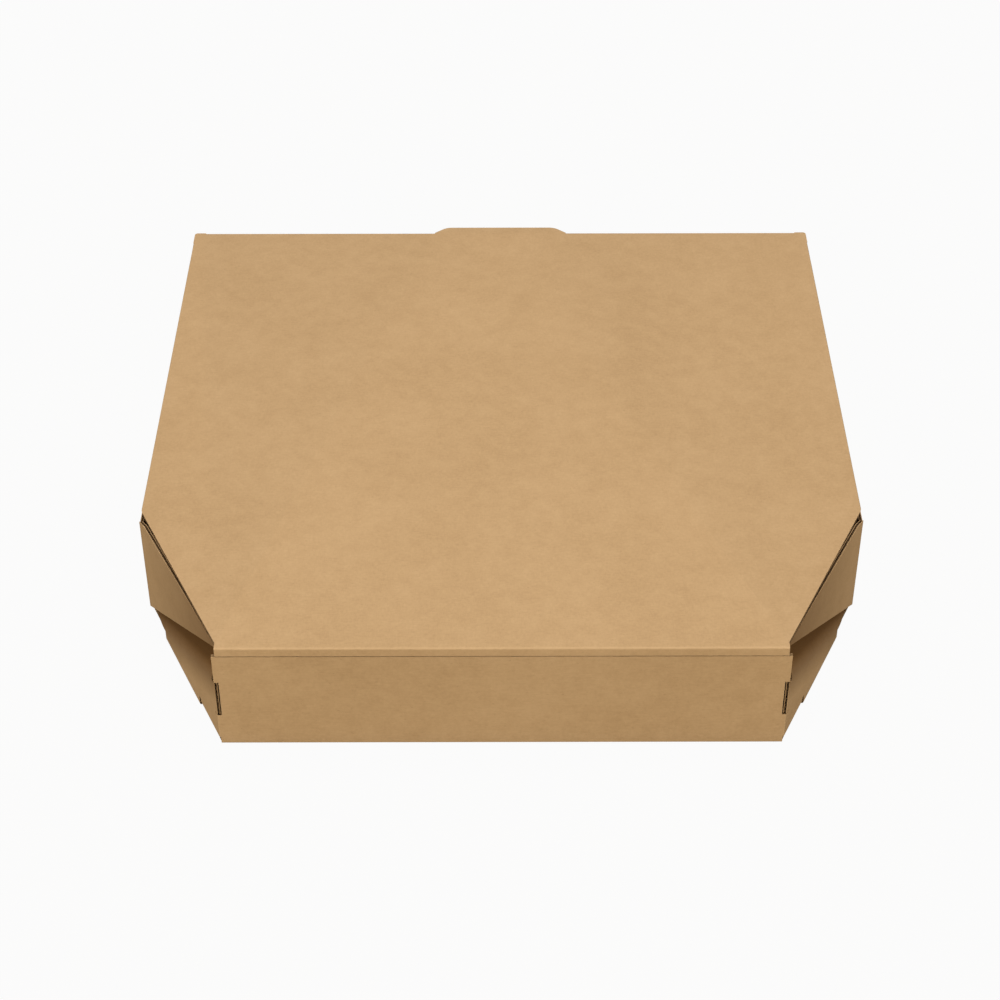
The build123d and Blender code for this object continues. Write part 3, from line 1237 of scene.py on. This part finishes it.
        panels = [
            FlutedPanel(top, X, Y, Z, (
                (0, crease), (size.half_hinge, crease), (size.half_hinge, size.slant_end),
                (side, self.slant_depth(side)), (side, front), (0, front))),
            FlutedPanel(top, X, Y, Z, rectangle(0, front, size.tab_base, self.depth)),
            FlutedPanel(tab_start, X, tab, X.cross(tab), (
                (0, 0), (size.tab_base, 0), (size.tab_end, tab_reach - size.tab_round),
                (size.tab_end - size.tab_round, tab_reach), (0, tab_reach))),
            FlutedPanel(side_top, side_down, Y, side_out, (
                (side_start, rear), (side_drop, rear + size.flap_taper),
                (side_drop, flap_front - size.flap_taper), (side_start, flap_front))),
            FlutedPanel(tuck_top, X, down, tuck_out, (
                (size.tab_base, radius), (half_tuck, radius),
                (half_tuck, tuck_cut), (size.tab_end, tuck_cut))),
            FlutedPanel(tuck_top, X, down, tuck_out, (
                (0, tuck_cut), (half_tuck, tuck_cut),
                (half_tuck - size.tuck_taper, tuck_drop), (0, tuck_drop))),
            FlutedPanel(
                band_top, X, band_down, band_out, rectangle(0, band_start, size.half_hinge, band_drop)),
        ]
        return make_fluting("lid_fluting", [panel.lay(self.board) for panel in panels], self.board)


@dataclass
class Tray(Half):
    """The lower half: floor, walls, gussets, bevel flaps and the rolled-over front wall."""

    body = "tray"

    def __post_init__(self) -> None:
        """Works out the lines that the panels share."""
        size = self.sizes
        self.front_depth = size.tray_front - size.rear
        self.inner_half = size.half_tray - self.board.thickness - size.layer_gap
        self.slot_front = self.front_depth - size.front_depth - size.layer_gap + size.slot_depth
        self.gusset_angle = math.acos(-size.gusset_along.y)
        self.web_angle = math.acos(-size.bevel_along.x)
        self.web_line = size.bevel_reach(size.flap_proud, 0)
        self.wall_end = size.bevel_reach(size.flap_proud, size.flap_wall_gap)

    def wall_rear(self, layer: Layer) -> float:
        """The depth at which the side wall turns into its gusset."""
        tangent = self.board.radius(layer) * math.tan(self.gusset_angle / 2)
        return self.sizes.gusset_corner.y - self.sizes.rear + tangent

    def web_reach(self, layer: Layer) -> float:
        """The distance along the bevel at which its flap turns into the rear wall."""
        return self.web_line - self.board.radius(layer) * math.tan(self.web_angle / 2)

    def web_x(self, layer: Layer) -> float:
        """Where the rear wall turns into the bevel flap."""
        tangent = self.board.radius(layer) * math.tan(self.web_angle / 2)
        return self.sizes.on_bevel(self.web_line, 0, self.sizes.flap_proud).x - tangent

    def fold_sheet(self, layer: Layer) -> bpy.types.Object:
        """Models the tray's sheet from its floor outwards.

        Args:
            layer: The liner that it becomes.

        Returns:
            The liner.
        """
        size = self.sizes
        radius = self.board.radius(layer)
        side_edge = size.half_tray - radius
        dust_edge = self.front_depth - size.dust_setback - radius
        front_edge = self.front_depth - radius
        fold_proud = size.flap_proud - radius
        floor_rear = size.bevel_side + (side_edge - size.bevel_start.x) / 2
        wall_rear = self.wall_rear(layer)
        outline = [
            self.corner(0, radius, 0),
            self.corner(size.half_rear - size.notch_width, radius, 0),
            self.corner(self.web_x(layer), radius, 0),
            size.on_bevel(size.flap_end + size.relief, 0, 0),
            size.on_bevel(size.flap_end, 0, 0),
            size.on_bevel(size.flap_end, 0, fold_proud),
            size.on_bevel(size.flap_start, 0, fold_proud),
            size.on_bevel(size.flap_start, 0, 0),
            size.bevel_start,
            self.corner(side_edge, floor_rear, 0),
            self.corner(side_edge, wall_rear + size.side_drop_run, 0),
            self.corner(side_edge, dust_edge, 0),
            self.corner(size.half_tray, dust_edge, 0),
            self.corner(size.half_tray, front_edge, 0),
            self.corner(self.inner_half, front_edge, 0),
            self.corner(0, front_edge, 0),
        ]
        sheet = BoardSheet(f"tray_{layer.value}", outline, self.board, layer)
        self.cut_lock_slots(sheet)
        self.fold_rear_wall(sheet, outline[0], outline[2])
        self.fold_side_wall(sheet, outline[9], outline[11])
        self.fold_gusset(sheet)
        self.fold_dust_flap(sheet, outline[12])
        self.fold_front_wall(sheet, outline[13], outline[15])
        sheet.pick(outline[5], outline[6])
        sheet.fold(outline[5] + Z * radius, size.bevel_along, QUARTER)
        flap = self.bow_bevel_flap(layer)
        deselect()
        join([sheet.piece, flap], sheet.piece.name)
        sheet.edit()
        return sheet.make_liner(-Z)

    def cut_lock_slots(self, sheet: BoardSheet) -> None:
        """Cuts the slot in the floor that the front wall's lock tab goes into.

        Args:
            sheet: The tray's sheet.
        """
        size = self.sizes
        half = size.lock_half + size.lock_gap
        sheet.cut(Vector((size.lock_middle - half, 0, 0)), X)
        sheet.cut(Vector((size.lock_middle + half, 0, 0)), X)
        sheet.cut(self.corner(0, self.slot_front - size.slot_depth, 0), Y)
        sheet.cut(self.corner(0, self.slot_front, 0), Y)
        sheet.cut_out(self.corner(size.lock_middle, self.slot_front - size.slot_depth / 2, 0))

    def fold_rear_wall(self, sheet: BoardSheet, middle: Vector, end: Vector) -> None:
        """Folds the rear wall up, cuts the notch in its end and turns its lower end to the bevel flap.

        Args:
            sheet: The tray's sheet.
            middle: The middle of the floor's rear edge.
            end: The end of that edge.
        """
        size = self.sizes
        radius = self.board.radius(sheet.layer)
        sheet.pick(middle, end)
        sheet.fold(middle + Z * radius, -X, QUARTER)
        sheet.extend(Z * (size.web_foot - radius))
        sheet.extend(Z * (size.notch_bottom - size.web_foot))
        sheet.extend(Z * (size.notch_top - size.notch_bottom))
        wall_top = size.wall_top - size.crease_gap
        sheet.extend(Z * (wall_top - size.notch_top))
        notch_middle = (size.notch_bottom + size.notch_top) / 2
        sheet.cut_out(self.corner(end.x - size.notch_width / 2, 0, notch_middle))
        overhang = X * (size.half_rear - end.x)
        for height in (size.notch_top, wall_top):
            sheet.shift(self.corner(end.x, 0, height), overhang)
        foot = self.corner(end.x, 0, size.web_foot)
        sheet.pick(foot, self.corner(end.x, 0, size.notch_bottom))
        sheet.fold(foot + Y * radius, Z, self.web_angle)

    def fold_side_wall(self, sheet: BoardSheet, rear: Vector, front: Vector) -> None:
        """Folds the side wall up, with its top a little lower than its gusset's fold.

        Args:
            sheet: The tray's sheet.
            rear: The rear end of the floor's side edge.
            front: The front end of that edge.
        """
        size = self.sizes
        radius = self.board.radius(sheet.layer)
        pivot = rear + Z * radius
        wall_rear = self.wall_rear(sheet.layer)
        sheet.pick(rear, front)
        sheet.fold(pivot, -Y, QUARTER)
        sheet.slant_fold(rear, pivot, -Y, QUARTER, Y * (wall_rear - (rear.y - size.rear)))
        sheet.extend(Z * (size.dust_top - radius))
        sheet.extend(Z * (size.side_top - size.dust_top))
        end = self.corner(size.half_tray, wall_rear, size.side_top)
        sheet.shift(end, Z * (size.wall_top - size.side_top))

    def fold_dust_flap(self, sheet: BoardSheet, end: Vector) -> None:
        """Folds the side wall's front flap behind the front wall.

        Args:
            sheet: The tray's sheet.
            end: The foot of the side wall's front edge.
        """
        size = self.sizes
        radius = self.board.radius(sheet.layer)
        foot = end + Z * radius
        sheet.pick(foot, foot + Z * (size.dust_top - radius))
        sheet.fold(foot - X * radius, Z, QUARTER)
        sheet.extend(-X * (size.dust_length - radius))

    def fold_gusset(self, sheet: BoardSheet) -> None:
        """Folds the side wall's tapered rear end along the bevel, with painted shade towards its tip.

        Args:
            sheet: The tray's sheet.
        """
        size = self.sizes
        radius = self.board.radius(sheet.layer)
        foot = self.corner(size.half_tray, self.wall_rear(sheet.layer), radius)
        sheet.pick(foot, foot + Z * (size.wall_top - radius))
        axis = foot - X * radius
        sheet.fold(axis, -Z, self.gusset_angle)
        turned = axis + Matrix.Rotation(self.gusset_angle, 3, -Z) @ (foot - axis)
        tangent = radius * math.tan(self.gusset_angle / 2)
        reach = size.gusset_reach - tangent
        shoulder = size.gusset_along * (size.gusset_shoulder - tangent)
        rise = (size.gusset_tip - radius) * (size.gusset_shoulder - tangent) / reach
        sheet.extend(shoulder)
        sheet.shift(turned + shoulder, Z * rise)
        sheet.shift(turned + shoulder + Z * (size.wall_top - radius), Z * (size.gusset_top - size.wall_top))
        rest = size.gusset_along * (size.gusset_reach - size.gusset_shoulder)
        sheet.extend(rest)
        tip = turned + shoulder + rest
        sheet.shift(tip + Z * rise, Z * (size.gusset_tip - radius - rise))
        middle = (size.gusset_tip + size.gusset_top) / 2
        sheet.shift(tip + Z * (size.dust_top - radius), Z * (middle - size.dust_top))
        # Painted shade on the gusset's tip, where the lid's edge shadows it; none at its fold, rising along
        # it to the tip.
        low, high = (tip + Z * (height - radius) for height in (size.gusset_tip, size.gusset_top))
        sheet.tuck(low, high, size.gusset_tip_shade)

    def fold_front_wall(self, sheet: BoardSheet, end: Vector, middle: Vector) -> None:
        """Rolls the front wall over the dust flaps and locks it into the floor.

        Args:
            sheet: The tray's sheet.
            end: The end of the floor's front edge.
            middle: The middle of that edge.
        """
        size = self.sizes
        radius = self.board.radius(sheet.layer)
        sheet.pick(middle, end)
        sheet.fold(middle + Z * radius, X, QUARTER)
        roll = size.wall_top - radius
        sheet.extend(Z * (roll - radius))
        outer = self.corner(0, self.front_depth, roll)
        sheet.pick(outer, outer + X * self.inner_half)
        sheet.fold(outer - Y * radius, X, QUARTER)
        across = size.front_depth - 2 * radius
        sheet.extend(-Y * across)
        sheet.fold(outer - Y * (radius + across), X, QUARTER)
        foot = self.board.thickness + size.layer_gap
        sheet.extend(-Z * (roll - foot))
        inner = self.corner(0, self.front_depth - size.front_depth, foot)
        half = size.lock_half + size.lock_gap
        sheet.pick(inner + X * (size.lock_middle - half), inner + X * (size.lock_middle + half))
        sheet.extend(-Z * foot)
        tab = inner + X * size.lock_middle - Z * foot
        sheet.shift(tab - X * half, X * size.lock_gap)
        sheet.shift(tab + X * half, -X * size.lock_gap)

    def bow(self, piece: bpy.types.Object) -> None:
        """Bows the bevel flap inwards above its diagonal, paints shade on its outer liner there, and cuts
        it off below the lid.

        Args:
            piece: The flap, or its fluting.
        """
        size = self.sizes
        foot = size.on_bevel(size.flap_start, size.bend_foot, size.flap_proud)
        head = size.on_bevel(self.wall_end, size.bend_head, size.flap_proud)
        Bow().apply(piece, foot, head, size.bevel_out)
        use(piece)
        bpy.ops.object.mode_set(mode="EDIT")
        bpy.ops.mesh.select_all(action="SELECT")
        bpy.ops.mesh.bisect(plane_co=Z * size.flap_top, plane_no=Z, clear_outer=True, threshold=CUT)
        deselect()

    def flap_head(self) -> list[tuple[float, float]]:
        """Works out the upper corners of the bevel flap while it is flat.

        Returns:
            Each corner's distance along the bevel and its height.
        """
        size = self.sizes
        slope = (size.bend_head - size.bend_foot) / (self.wall_end - size.flap_start)
        rise = size.flap_upper * math.hypot(1, slope)
        lap_end = size.flap_start - size.flap_lap
        lap_top = size.bend_foot - size.flap_lap * slope + rise
        head_end = self.wall_end + size.flap_head_reach
        return [(head_end, size.bend_head + size.flap_head_reach * slope + rise), (lap_end, lap_top)]

    def bow_bevel_flap(self, layer: Layer) -> bpy.types.Object:
        """Models the bevel flap above its fold, with its web to the rear wall, its tab and its bow.

        Args:
            layer: The liner that it belongs to.

        Returns:
            The flap's outer face.
        """
        size = self.sizes
        radius = self.board.radius(layer)
        relief_end = size.flap_end + size.relief
        web = self.web_reach(layer)
        low = size.notch_bottom + size.notch_gap
        high = size.notch_top - size.notch_gap
        points = [
            (size.flap_start, radius),
            (size.flap_end, radius),
            (size.flap_end, size.relief_top),
            (relief_end, size.relief_top),
            (relief_end, size.web_foot),
            (web, size.web_foot),
            (web, size.notch_bottom),
            (self.wall_end, size.notch_bottom),
            (self.wall_end, low),
            (self.web_line, low),
            (self.web_line, high),
            (self.wall_end, high),
            *self.flap_head(),
            (size.flap_start - size.flap_lap, size.flap_lap_foot),
            (size.flap_start, size.bend_foot),
        ]
        outline = [size.on_bevel(reach, height, size.flap_proud) for reach, height in points]
        sheet = BoardSheet("bevel_flap", outline, self.board, layer)
        deselect()
        self.bow(sheet.piece)
        return sheet.piece

    def build_fluting(self) -> bpy.types.Object:
        """Lays the fluting of the tray's panels.

        Returns:
            The tray's fluting.
        """
        size = self.sizes
        radius = self.board.inner_radius
        slot_rear = self.slot_front - size.slot_depth
        floor = self.corner(0, 0, 0)
        bevel_rear = size.on_bevel(size.bevel_reach(0, radius), 0, 0)
        notch_x = size.half_rear - size.notch_width
        wall_top = size.wall_top - size.crease_gap
        web_x = self.web_x(Layer.INNER)
        side = self.corner(size.half_tray, 0, 0)
        side_edge = size.half_tray - radius
        dust_edge = self.front_depth - size.dust_setback - radius
        wall_rear = self.wall_rear(Layer.INNER)
        gusset_out = Vector((-size.gusset_along.y, size.gusset_along.x, 0))
        front = self.corner(0, self.front_depth, 0)
        inner = self.corner(0, self.front_depth - size.front_depth, 0)
        dust = self.corner(size.half_tray, self.front_depth - size.dust_setback, 0)
        foot = self.board.thickness + size.layer_gap
        roll = size.wall_top - radius
        lock_low = size.lock_middle - size.lock_half
        lock_high = size.lock_middle + size.lock_half
        panels = [
            FlutedPanel(floor, X, Y, -Z, (
                (0, radius), (bevel_rear.x, radius), (size.bevel_start.x, size.bevel_side),
                (side_edge, wall_rear), (side_edge, slot_rear), (0, slot_rear))),
            FlutedPanel(floor, X, Z, -Y, rectangle(0, radius, notch_x, wall_top)),
            FlutedPanel(floor, X, Z, -Y, rectangle(notch_x, radius, web_x, size.notch_bottom)),
            FlutedPanel(floor, X, Z, -Y, rectangle(notch_x, size.notch_top, size.half_rear, wall_top)),
            FlutedPanel(side, Z, Y, X, rectangle(radius, wall_rear, size.side_top, dust_edge)),
            FlutedPanel(size.gusset_corner, Z, size.gusset_along, gusset_out, (
                (radius, radius), (size.gusset_tip, size.gusset_reach),
                (size.gusset_top, size.gusset_reach), (size.gusset_top, size.gusset_shoulder),
                (size.wall_top, radius))),
            FlutedPanel(dust, Z, -X, Y, rectangle(foot, radius, size.dust_top, size.dust_length)),
            FlutedPanel(front, X, Z, Y, rectangle(0, radius, size.half_tray, roll)),
            FlutedPanel(inner, X, Z, -Y, rectangle(0, foot, self.inner_half, roll)),
            FlutedPanel(inner, X, Z, -Y, rectangle(lock_low, 0, lock_high, foot)),
        ]
        patches = [panel.lay(self.board) for panel in panels]
        patches += self.lay_flap_fluting()
        return make_fluting("tray_fluting", patches, self.board)

    def lay_flap_fluting(self) -> list[bpy.types.Object]:
        """Lays the fluting of the bevel flap, which rises towards the rear wall, and bows it with the flap.

        Returns:
            The flap's fluting.
        """
        size = self.sizes
        flute = (size.bevel_along * -size.bevel_along.y + Z * -size.bevel_out.y).normalized()
        across = size.bevel_out.cross(flute)
        origin = size.on_bevel(0, 0, size.flap_proud)
        web = self.web_reach(Layer.INNER)
        low = size.notch_bottom + size.notch_gap
        high = size.notch_top - size.notch_gap
        relief_end = size.flap_end + size.relief
        lap_end = size.flap_start - size.flap_lap
        shapes = [
            [(lap_end, size.relief_top), (self.wall_end, size.relief_top), *self.flap_head()],
            rectangle(relief_end, size.web_foot, web, size.relief_top),
            rectangle(self.wall_end, size.relief_top, web, size.notch_bottom),
            rectangle(self.wall_end, low, self.web_line, high),
        ]
        patches = []
        for shape in shapes:
            places = [size.bevel_along * reach + Z * height for reach, height in shape]
            outline = tuple((place.dot(across), place.dot(flute)) for place in places)
            patches.append(FlutedPanel(origin, across, flute, size.bevel_out, outline).lay(self.board))
        self.bow(patches[0])
        return patches


@dataclass(frozen=True)
class Studio:
    """A white floor and surroundings, a soft light from above, two low ones in front and the camera."""

    floor_size: float = 12.0
    floor_paint: Colour = (0.18, 0.15, 0.09)
    floor_white: float = 0.96
    ambient: float = 0.15
    key_power: float = 37.0
    left_power: float = 27.5
    right_power: float = 23.0
    light_size: float = 0.9
    light_distance: float = 2.6
    key_rise: float = math.radians(82)
    key_turn: float = math.radians(180)
    front_rise: float = math.radians(22)
    front_turn: float = math.radians(38)
    front_colour: Colour = (1.0, 0.96, 0.88)
    camera_place: tuple[float, float, float] = (-0.00144, -0.79629, 0.64693)
    focal_pixels: float = 2218.8
    image_pixels: float = 1000.0
    sensor: float = 36.0
    clip_start: float = 0.01
    pitch: float = math.radians(39.024)
    yaw: float = math.radians(0.069)
    roll: float = math.radians(-0.062)

    def build(self) -> None:
        """Sets the whole stage up."""
        bpy.context.scene.view_settings.view_transform = "Standard"
        self.light_world()
        self.lay_floor()
        self.hang_light("key_light", self.key_turn, self.key_rise, self.key_power)
        for name, turn, power in (
            ("left_light", -self.front_turn, self.left_power),
            ("right_light", self.front_turn, self.right_power),
        ):
            self.hang_light(name, turn, self.front_rise, power).color = self.front_colour
        self.set_camera()

    @staticmethod
    def seen(tree: bpy.types.NodeTree) -> Socket:
        """Adds nodes that tell the rays that see white from the rays that carry light.

        Args:
            tree: The nodes that they go into.

        Returns:
            1 for a ray that sees white, or else 0.
        """
        path = tree.nodes.new("ShaderNodeLightPath")
        total = None
        for ray in Ray:
            output = path.outputs[ray.value]
            if total is None:
                total = output
                continue
            plus = tree.nodes.new("ShaderNodeMath")
            plus.operation = "MAXIMUM"
            tree.links.new(total, plus.inputs[0])
            tree.links.new(output, plus.inputs[1])
            total = plus.outputs["Value"]
        return total

    def light_world(self) -> None:
        """Makes surroundings that look white and give a soft light from all around."""
        world = bpy.data.worlds.new("studio")
        bpy.context.scene.world = world
        world.use_nodes = True
        tree = world.node_tree
        tree.nodes.clear()
        fill = tree.nodes.new("ShaderNodeBackground")
        fill.inputs["Strength"].default_value = self.ambient
        white = tree.nodes.new("ShaderNodeBackground")
        for node in (fill, white):
            node.inputs["Color"].default_value = (1, 1, 1, 1)
        mix = tree.nodes.new("ShaderNodeMixShader")
        tree.links.new(self.seen(tree), mix.inputs["Fac"])
        tree.links.new(fill.outputs["Background"], mix.inputs[1])
        tree.links.new(white.outputs["Background"], mix.inputs[2])
        output = tree.nodes.new("ShaderNodeOutputWorld")
        tree.links.new(mix.outputs["Shader"], output.inputs["Surface"])

    def lay_floor(self) -> None:
        """Lays a pale floor that looks white and keeps a faint shadow of the box."""
        deselect()
        bpy.ops.mesh.primitive_plane_add(size=self.floor_size)
        floor = bpy.context.object
        floor.name = "floor"
        material = bpy.data.materials.new("white_floor")
        material.use_nodes = True
        tree = material.node_tree
        tree.nodes.clear()
        paint = tree.nodes.new("ShaderNodeBsdfDiffuse")
        paint.inputs["Color"].default_value = (*self.floor_paint, 1)
        white = tree.nodes.new("ShaderNodeEmission")
        white.inputs["Strength"].default_value = 1.0
        share = tree.nodes.new("ShaderNodeMath")
        share.operation = "MULTIPLY"
        share.inputs[1].default_value = self.floor_white
        tree.links.new(self.seen(tree), share.inputs[0])
        mix = tree.nodes.new("ShaderNodeMixShader")
        tree.links.new(share.outputs["Value"], mix.inputs["Fac"])
        tree.links.new(paint.outputs["BSDF"], mix.inputs[1])
        tree.links.new(white.outputs["Emission"], mix.inputs[2])
        output = tree.nodes.new("ShaderNodeOutputMaterial")
        tree.links.new(mix.outputs["Shader"], output.inputs["Surface"])
        floor.data.materials.append(material)

    def hang_light(self, name: str, turn: float, rise: float, power: float) -> bpy.types.Light:
        """Hangs a large soft light, aimed at the box.

        Args:
            name: The light's name.
            turn: How far it is to the right of the camera, in radians.
            rise: How high it is, in radians.
            power: Its power, in watts.

        Returns:
            The light.
        """
        level = Vector((math.sin(turn), -math.cos(turn), 0))
        place = (level * math.cos(rise) + Z * math.sin(rise)) * self.light_distance
        deselect()
        aim = place.to_track_quat("Z", "Y").to_euler()
        bpy.ops.object.light_add(type="AREA", location=place, rotation=aim)
        light = bpy.context.object
        light.name = name
        light.data.shape = "DISK"
        light.data.size = self.light_size
        light.data.energy = power
        return light.data

    def set_camera(self) -> None:
        """Sets the camera where the photograph was taken from."""
        level = Vector((math.sin(self.yaw), math.cos(self.yaw), 0))
        forward = level * math.cos(self.pitch) - Z * math.sin(self.pitch)
        right = forward.cross(Z).normalized()
        up = right.cross(forward)
        tilted = right * math.cos(self.roll) + up * math.sin(self.roll)
        up = tilted.cross(forward)
        turn = Matrix((tilted, up, -forward)).transposed()
        bpy.ops.object.camera_add()
        camera = bpy.context.object
        camera.name = "photo_camera"
        camera.matrix_world = Matrix.Translation(self.camera_place) @ turn.to_4x4()
        camera.data.sensor_width = self.sensor
        camera.data.lens = self.focal_pixels / self.image_pixels * self.sensor
        camera.data.clip_start = self.clip_start
        bpy.context.scene.camera = camera


def main() -> None:
    """Builds both halves of the box, dresses them and sets the stage."""
    logging.basicConfig(level=logging.INFO, format="%(name)s: %(message)s")
    sizes = BoxSizes.from_frame()
    board = Board()
    liner = KraftLiner(pitch=board.pitch).build()
    fluting = FlutingPaper().build()
    for half in (Lid(sizes, board), Tray(sizes, board)):
        half.build(liner, fluting)
    Studio().build()


if __name__ == "__main__":
    main()
